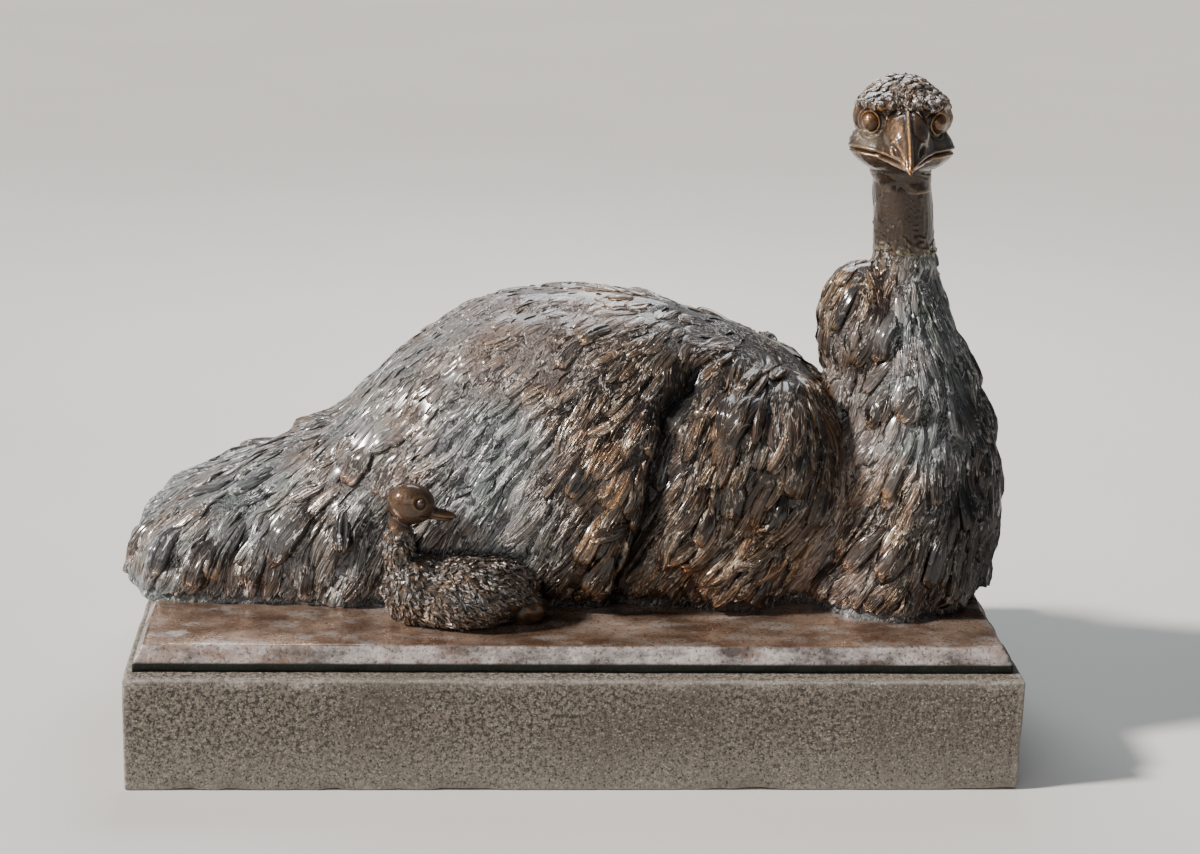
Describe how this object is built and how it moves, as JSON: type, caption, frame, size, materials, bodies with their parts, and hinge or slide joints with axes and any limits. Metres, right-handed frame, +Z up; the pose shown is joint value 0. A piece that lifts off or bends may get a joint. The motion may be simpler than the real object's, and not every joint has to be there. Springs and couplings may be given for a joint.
{
  "type": "bronze statue of a resting emu with a chick",
  "caption": "Cast bronze emu at rest on a thin bronze slab, face turned to the side, with a chick tucked against its flank, set on a low oblong stone plinth.",
  "frame": {"origin": "centre of the plinth's flat underside", "axes": "+X from the tail towards the breast, -Y the side that the face and the chick look to, +Z up"},
  "size_m": [1.1424, 0.6, 0.8494],
  "materials": {
    "bronze": "satin brown patina, greyish green in the hollows",
    "worn_bronze": "smooth, rubbed brighter on the high edges",
    "slab_bronze": "satin brown top with streaks, dark green upright edge",
    "stone": "matt, finely speckled"
  },
  "bodies": {
    "root": {"plinth": "stone", "slab": "slab_bronze", "torso": "bronze", "tail": "bronze", "drape_near": "bronze", "drape_far": "bronze", "thigh_near": "bronze", "thigh_far": "bronze", "breast": "bronze", "neck": "bronze", "head": "bronze", "jaw": "worn_bronze", "bill": "worn_bronze", "eye_left": "worn_bronze", "eye_right": "worn_bronze", "chick": "bronze"}
  },
  "joints": []
}
